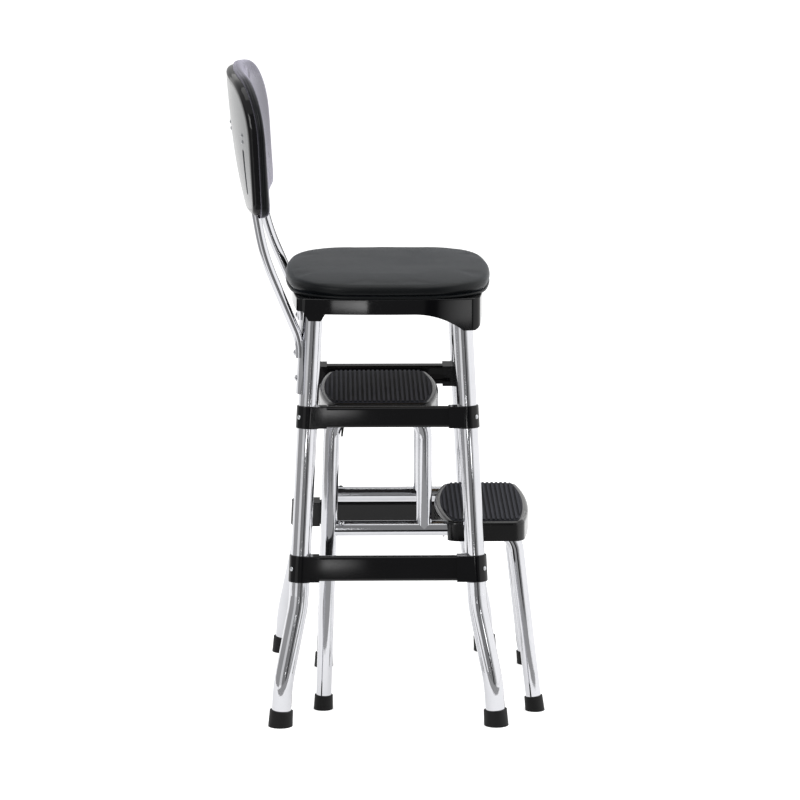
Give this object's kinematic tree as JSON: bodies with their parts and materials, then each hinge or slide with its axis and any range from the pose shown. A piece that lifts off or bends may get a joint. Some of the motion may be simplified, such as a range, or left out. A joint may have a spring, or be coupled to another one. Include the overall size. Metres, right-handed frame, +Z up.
{
  "type": "folding step stool chair",
  "caption": "Chrome tube counter chair with padded seat and backrest and a ribbed two-tread step unit that slides out from under the seat.",
  "frame": {"origin": "on the floor, under the middle of the bounding box", "axes": "+X the way the sitter faces and the steps slide out, +Y the sitter's left, +Z up"},
  "size_m": [0.4402, 0.4438, 0.8925],
  "materials": {
    "chrome_tube": "polished chrome plating on round steel tube",
    "grey_rubber": "moulded rubber foot cap",
    "ribbed_rubber": "ribbed rubber mat",
    "screw_steel": "zinc plated screws",
    "plain_steel": "plain steel rail",
    "black_moulding": "glossy moulded plastic",
    "black_enamel": "baked black enamel on pressed steel",
    "grey_enamel": "pale grey enamel on sheet steel",
    "black_vinyl": "soft black upholstery vinyl",
    "plywood": "plain plywood",
    "nylon": "self-lubricating black nylon"
  },
  "bodies": {
    "chair": {"front_leg_left": "chrome_tube", "front_leg_right": "chrome_tube", "rear_leg_left": "chrome_tube", "rear_leg_right": "chrome_tube", "front_foot_left": "grey_rubber", "front_foot_right": "grey_rubber", "rear_foot_left": "grey_rubber", "rear_foot_right": "grey_rubber", "seat_rail_front": "plain_steel", "seat_rail_rear": "plain_steel", "lower_brace_left": "black_moulding", "lower_brace_right": "black_moulding", "upper_brace_left": "black_moulding", "upper_brace_right": "black_moulding", "brace_screws": "screw_steel", "seat_skirt": "black_moulding", "seat_board": "plywood", "seat_screws": "screw_steel", "seat_cushion": "black_vinyl", "seat_welt": "black_vinyl", "back_support_left": "chrome_tube", "back_support_right": "chrome_tube", "support_bolts": "chrome_tube", "back_shell": "black_moulding", "back_plate": "grey_enamel", "back_cushion": "black_vinyl", "back_screws": "screw_steel"},
    "steps": {"step_arch_left": "chrome_tube", "step_arch_right": "chrome_tube", "step_lower_rail_left": "chrome_tube", "step_lower_rail_right": "chrome_tube", "step_rear_foot_left": "grey_rubber", "step_rear_foot_right": "grey_rubber", "step_front_foot_left": "grey_rubber", "step_front_foot_right": "grey_rubber", "upper_step_pan": "black_enamel", "lower_step_pan": "black_enamel", "upper_step_mat": "ribbed_rubber", "lower_step_mat": "ribbed_rubber", "step_fasteners": "chrome_tube", "step_slider_left": "nylon", "step_slider_right": "nylon"}
  },
  "joints": [
    {"name": "step_slide", "type": "slide", "parent": "chair", "child": "steps", "axis": [1, 0, 0], "range_m": [0, 0.15]}
  ]
}
